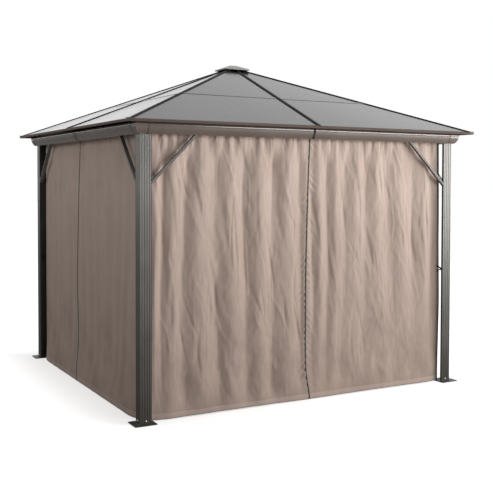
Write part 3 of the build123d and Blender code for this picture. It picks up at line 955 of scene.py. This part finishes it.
joints = ((0.0, "middle"), (cornerJoint, "corner"), (-cornerJoint, "corner"))
seals = [gutterSeal(x, **sealPlan[kind]) for x, kind in joints]
# the dark strips on the post flanges are painted shade; the gasket lips over the gutter joints are real seals
strip = sealPlan["strip"]
near = half - postLeg + sealPlan["lap"]
far = near - strip["width"]
for mirror in (-1, 1):
    lowX, highX = sorted((mirror * near, mirror * far))
    low = (lowX, -half + strip["inside"], strip["bottom"])
    high = (highX, -half + strip["flange"] - strip["inside"], strip["top"])
    seals.append(uprightBox(low, high))
joinedPiece("rubber_seals_and_shade_strips", onAllSides(seals), sealRubberAndShade, smooth=False)
print("stage: screws, bolts and seals")

capPlan = {"arm": 0.034, "thickness": 0.0022, "inside": 0.0004, "below": 0.0009, "height": 0.0235}


def cornerCap():
    # an L of two short walls round the trim's corner, carried up its height
    outside, end = -eave - capPlan["thickness"], -eave + capPlan["arm"]
    inside = -eave + capPlan["inside"]
    outline = np.array([
        (outside, outside), (end, outside), (end, inside), (inside, inside), (inside, end), (outside, end),
    ])
    count = len(outline)
    rings = []
    for height in (trimFoot - capPlan["below"], trimFoot + capPlan["height"]):
        rings.append(np.concatenate([outline, np.full((count, 1), height)], axis=1))
    lids = np.array([[0, 1, 2, 3], [0, 3, 4, 5]])
    faces = np.concatenate([gridFaces(2, count, wrap=True), lids[:, ::-1], lids + count])
    return np.stack(rings), faces


joinedPiece("eave_corner_caps", onAllSides([cornerCap()]), blackPlastic, smooth=False)

gliderPlan = {
    "reach": 1.2,
    "spacing": 0.1,
    "above": 0.008,
    # pairs of radius and height: head in the track, neck through its slot, foot in the cloth
    "profile": (
        (poleRadius, 0.012), (0.0035, 0.012), (0.0035, 0.004), (0.0017, 0.003),
        (0.0017, -0.006), (0.0042, -0.008), (0.0042, -0.012), (poleRadius, -0.0125),
    ),
}
gliders = []
for x in np.arange(-gliderPlan["reach"], gliderPlan["reach"] + 0.01, gliderPlan["spacing"]):
    place = (x, -curtainPlan["line"], curtainPlan["top"] + gliderPlan["above"])
    gliders.append(lathe(gliderPlan["profile"], (0, 0, 1), place, 10))
joinedPiece("curtain_gliders", onAllSides(gliders), whitePlastic)


def tubeAlong(path, radius, count=10):
    # a round tube carried along a path: each point plus the radius times a ring across the path
    path = np.asarray(path, dtype=float)
    ahead = np.gradient(path, axis=0)
    ahead /= np.linalg.norm(ahead, axis=1, keepdims=True)
    side = np.cross(ahead, np.array([0.13, 0.21, 0.97]))  # any direction that no strand runs in
    side /= np.linalg.norm(side, axis=1, keepdims=True)
    other = np.cross(ahead, side)
    turn = np.linspace(0, fullTurn, count, endpoint=False)
    ring = np.cos(turn)[None, :, None] * side[:, None] + np.sin(turn)[None, :, None] * other[:, None]
    return path[:, None] + radius * ring, gridFaces(len(path), count, wrap=True)


tiePlan = {
    "from": 1.243,  # start at the cloth, from the middle
    "hook": 0.019,  # end inside the post, from its outer face
    "height": 0.937,
    "radius": 0.003,
    "spread": 0.05,  # height between the two ends of a strand
    "sag": 0.006,
    "outward": 0.03,
    "lock": 0.011,
}
ties = []
tieEnd = half - tiePlan["hook"]
# the cord lock that pulls the strands tight: a ball with flat ends
r = tiePlan["lock"]
lockProfile = [
    (poleRadius, r), (r * 0.55, r), (r * 0.9, r * 0.55), (r, 0.0),
    (r * 0.9, -r * 0.55), (r * 0.55, -r), (poleRadius, -r),
]
t = np.linspace(0, 1, 24)
for mirror in (-1, 1):
    # two strands crossed between the cloth's edge and a hook inside the post
    for lean in (-1, 1):
        x = mirror * (tiePlan["from"] + t * (tieEnd - tiePlan["from"]))
        y = -(curtainPlan["line"] + t * tiePlan["outward"])
        sag = tiePlan["sag"] * np.sin(math.pi * t)
        z = tiePlan["height"] + lean * (t - 0.5) * tiePlan["spread"] - sag
        ties.append(tubeAlong(np.stack([x, y, z], axis=-1), tiePlan["radius"]))
    middleX = mirror * (tiePlan["from"] + tieEnd) / 2
    middleY = -(curtainPlan["line"] + tiePlan["outward"] / 2)
    middle = (middleX, middleY, tiePlan["height"] - tiePlan["sag"])
    ties.append(lathe(lockProfile, (0, 0, 1), middle, 16))
joinedPiece("curtain_ties", onAllSides(ties), cordAndEdgeShade)
print("stage: caps, gliders and ties")

floorPlan = {
    "half": 60.0,
    "glow": (0.52, 0.78),  # near the object, where its shadow lies, and away from it
    "glowFrom": 1.33,
    "glowTo": 1.85,
    "pale": (0.95, 0.95, 0.95, 1),
    "dull": (0.38, 0.37, 0.36, 1),
}
floorMaterial, tree, place = newMaterial("studio_floor_white")
# the camera sees a near-white ground that keeps a soft shadow; other rays meet a mid-grey one
size = addNode(tree, "VectorMath", {0: place}, operation="ABSOLUTE")
split = addNode(tree, "SeparateXYZ", {0: size})
away = {0: split.outputs["X"], 1: split.outputs["Y"]}
away = addNode(tree, "Math", away, operation="MAXIMUM")
nearGlow, farGlow = floorPlan["glow"]
glowLevel = {
    "Value": away, "From Min": floorPlan["glowFrom"], "From Max": floorPlan["glowTo"],
    "To Min": nearGlow, "To Max": farGlow,
}
glowLevel = addNode(tree, "MapRange", glowLevel, interpolation_type="SMOOTHSTEP")
glow = addNode(tree, "Emission", {"Color": (1, 1, 1, 1), "Strength": glowLevel})
pale = addNode(tree, "BsdfDiffuse", {"Color": floorPlan["pale"]})
dull = addNode(tree, "BsdfDiffuse", {"Color": floorPlan["dull"]})
clear = addNode(tree, "AddShader", {0: pale, 1: glow})
cameraRay = addNode(tree, "LightPath").outputs["Is Camera Ray"]
choice = addNode(tree, "MixShader", {0: cameraRay, 1: dull, 2: clear})
addNode(tree, "OutputMaterial", {"Surface": choice})
reach = floorPlan["half"]
floorCorners = [(-reach, -reach, 0), (reach, -reach, 0), (reach, reach, 0), (-reach, reach, 0)]
floorMesh = bpy.data.meshes.new("studio_floor")
floorMesh.from_pydata(floorCorners, [], [(0, 1, 2, 3)])
floorMesh.materials.append(floorMaterial)
floor = addObject("studio_floor", floorMesh)

skyLevel = 0.34
# power in watts, size in metres, and the rays that meet each lamp
lamps = {
    "key_softbox": {
        "power": 560.0, "size": (6.6, 3.4), "seen": "all",
        "place": (5.3, -6.7, 2.2), "aim": (0.3, -1.3, 1.9),
    },
    "rear_fill": {
        "power": 66.0, "size": (4.0, 3.0), "seen": "diffuse",
        "place": (-7.5, 2.0, 4.2), "aim": (-1.3, 0.0, 1.9),
    },
    "roof_reflector": {
        "power": 40.0, "size": (6.5, 4.4), "seen": "glossy",
        "place": (7.0, 7.6, 6.2), "aim": (0.6, -0.6, 2.3),
    },
    "back_reflector": {
        "power": 17.0, "size": (6.0, 4.0), "seen": "glossy",
        "place": (3.3, 10.0, 3.6), "aim": (-1.0, 0.0, 2.2),
    },
}

# the world is white to the camera, in reflections and through glass, and a dim sky to the rest
world = bpy.data.worlds.new("studio")
bpy.context.scene.world = world
world.use_nodes = True
tree = world.node_tree
tree.nodes.clear()
rays = addNode(tree, "LightPath").outputs
seen = {0: rays["Is Camera Ray"], 1: rays["Is Glossy Ray"]}
seen = addNode(tree, "Math", seen, operation="MAXIMUM")
seen = addNode(tree, "Math", {0: seen, 1: rays["Is Transmission Ray"]}, operation="MAXIMUM")
level = addNode(tree, "MapRange", {"Value": seen, "To Min": skyLevel})
sky = addNode(tree, "Background", {"Color": (1, 1, 1, 1), "Strength": level})
addNode(tree, "OutputWorld", {"Surface": sky})

for lampName, plan in lamps.items():
    lamp = bpy.data.lights.new(lampName, "AREA")
    lamp.shape = "RECTANGLE"
    lamp.size, lamp.size_y = plan["size"]
    lamp.energy = plan["power"]
    holder = addObject(lampName, lamp)
    holder.location = plan["place"]
    holder.rotation_mode = "QUATERNION"
    holder.rotation_quaternion = (Vector(plan["place"]) - Vector(plan["aim"])).to_track_quat("Z", "Y")
    holder.visible_camera = False
    holder.visible_glossy = plan["seen"] != "diffuse"
    holder.visible_diffuse = plan["seen"] != "glossy"

# turn, tilt and roll in degrees, found by fitting the frame to the photograph
cameraPlan = {
    "place": (-3.442, -7.006, 1.659),
    "turn": -30.977,
    "tilt": -1.97,
    "roll": 0.262,
    "lens": 64.54,
    "sensor": 36.0,
    "shift": (-0.1212, -0.0720),
}
cameraData = bpy.data.cameras.new("photo_camera")
cameraData.lens = cameraPlan["lens"]
cameraData.sensor_width = cameraPlan["sensor"]
cameraData.shift_x, cameraData.shift_y = cameraPlan["shift"]
camera = addObject("photo_camera", cameraData)
stand = Matrix.Translation(cameraPlan["place"])
for angle, axis in ((cameraPlan["turn"], "Z"), (90 + cameraPlan["tilt"], "X"), (cameraPlan["roll"], "Z")):
    stand = stand @ Matrix.Rotation(math.radians(angle), 4, axis)
camera.matrix_world = stand
bpy.context.scene.camera = camera
bpy.context.scene.view_settings.view_transform = "Standard"
print("stage: light and camera")
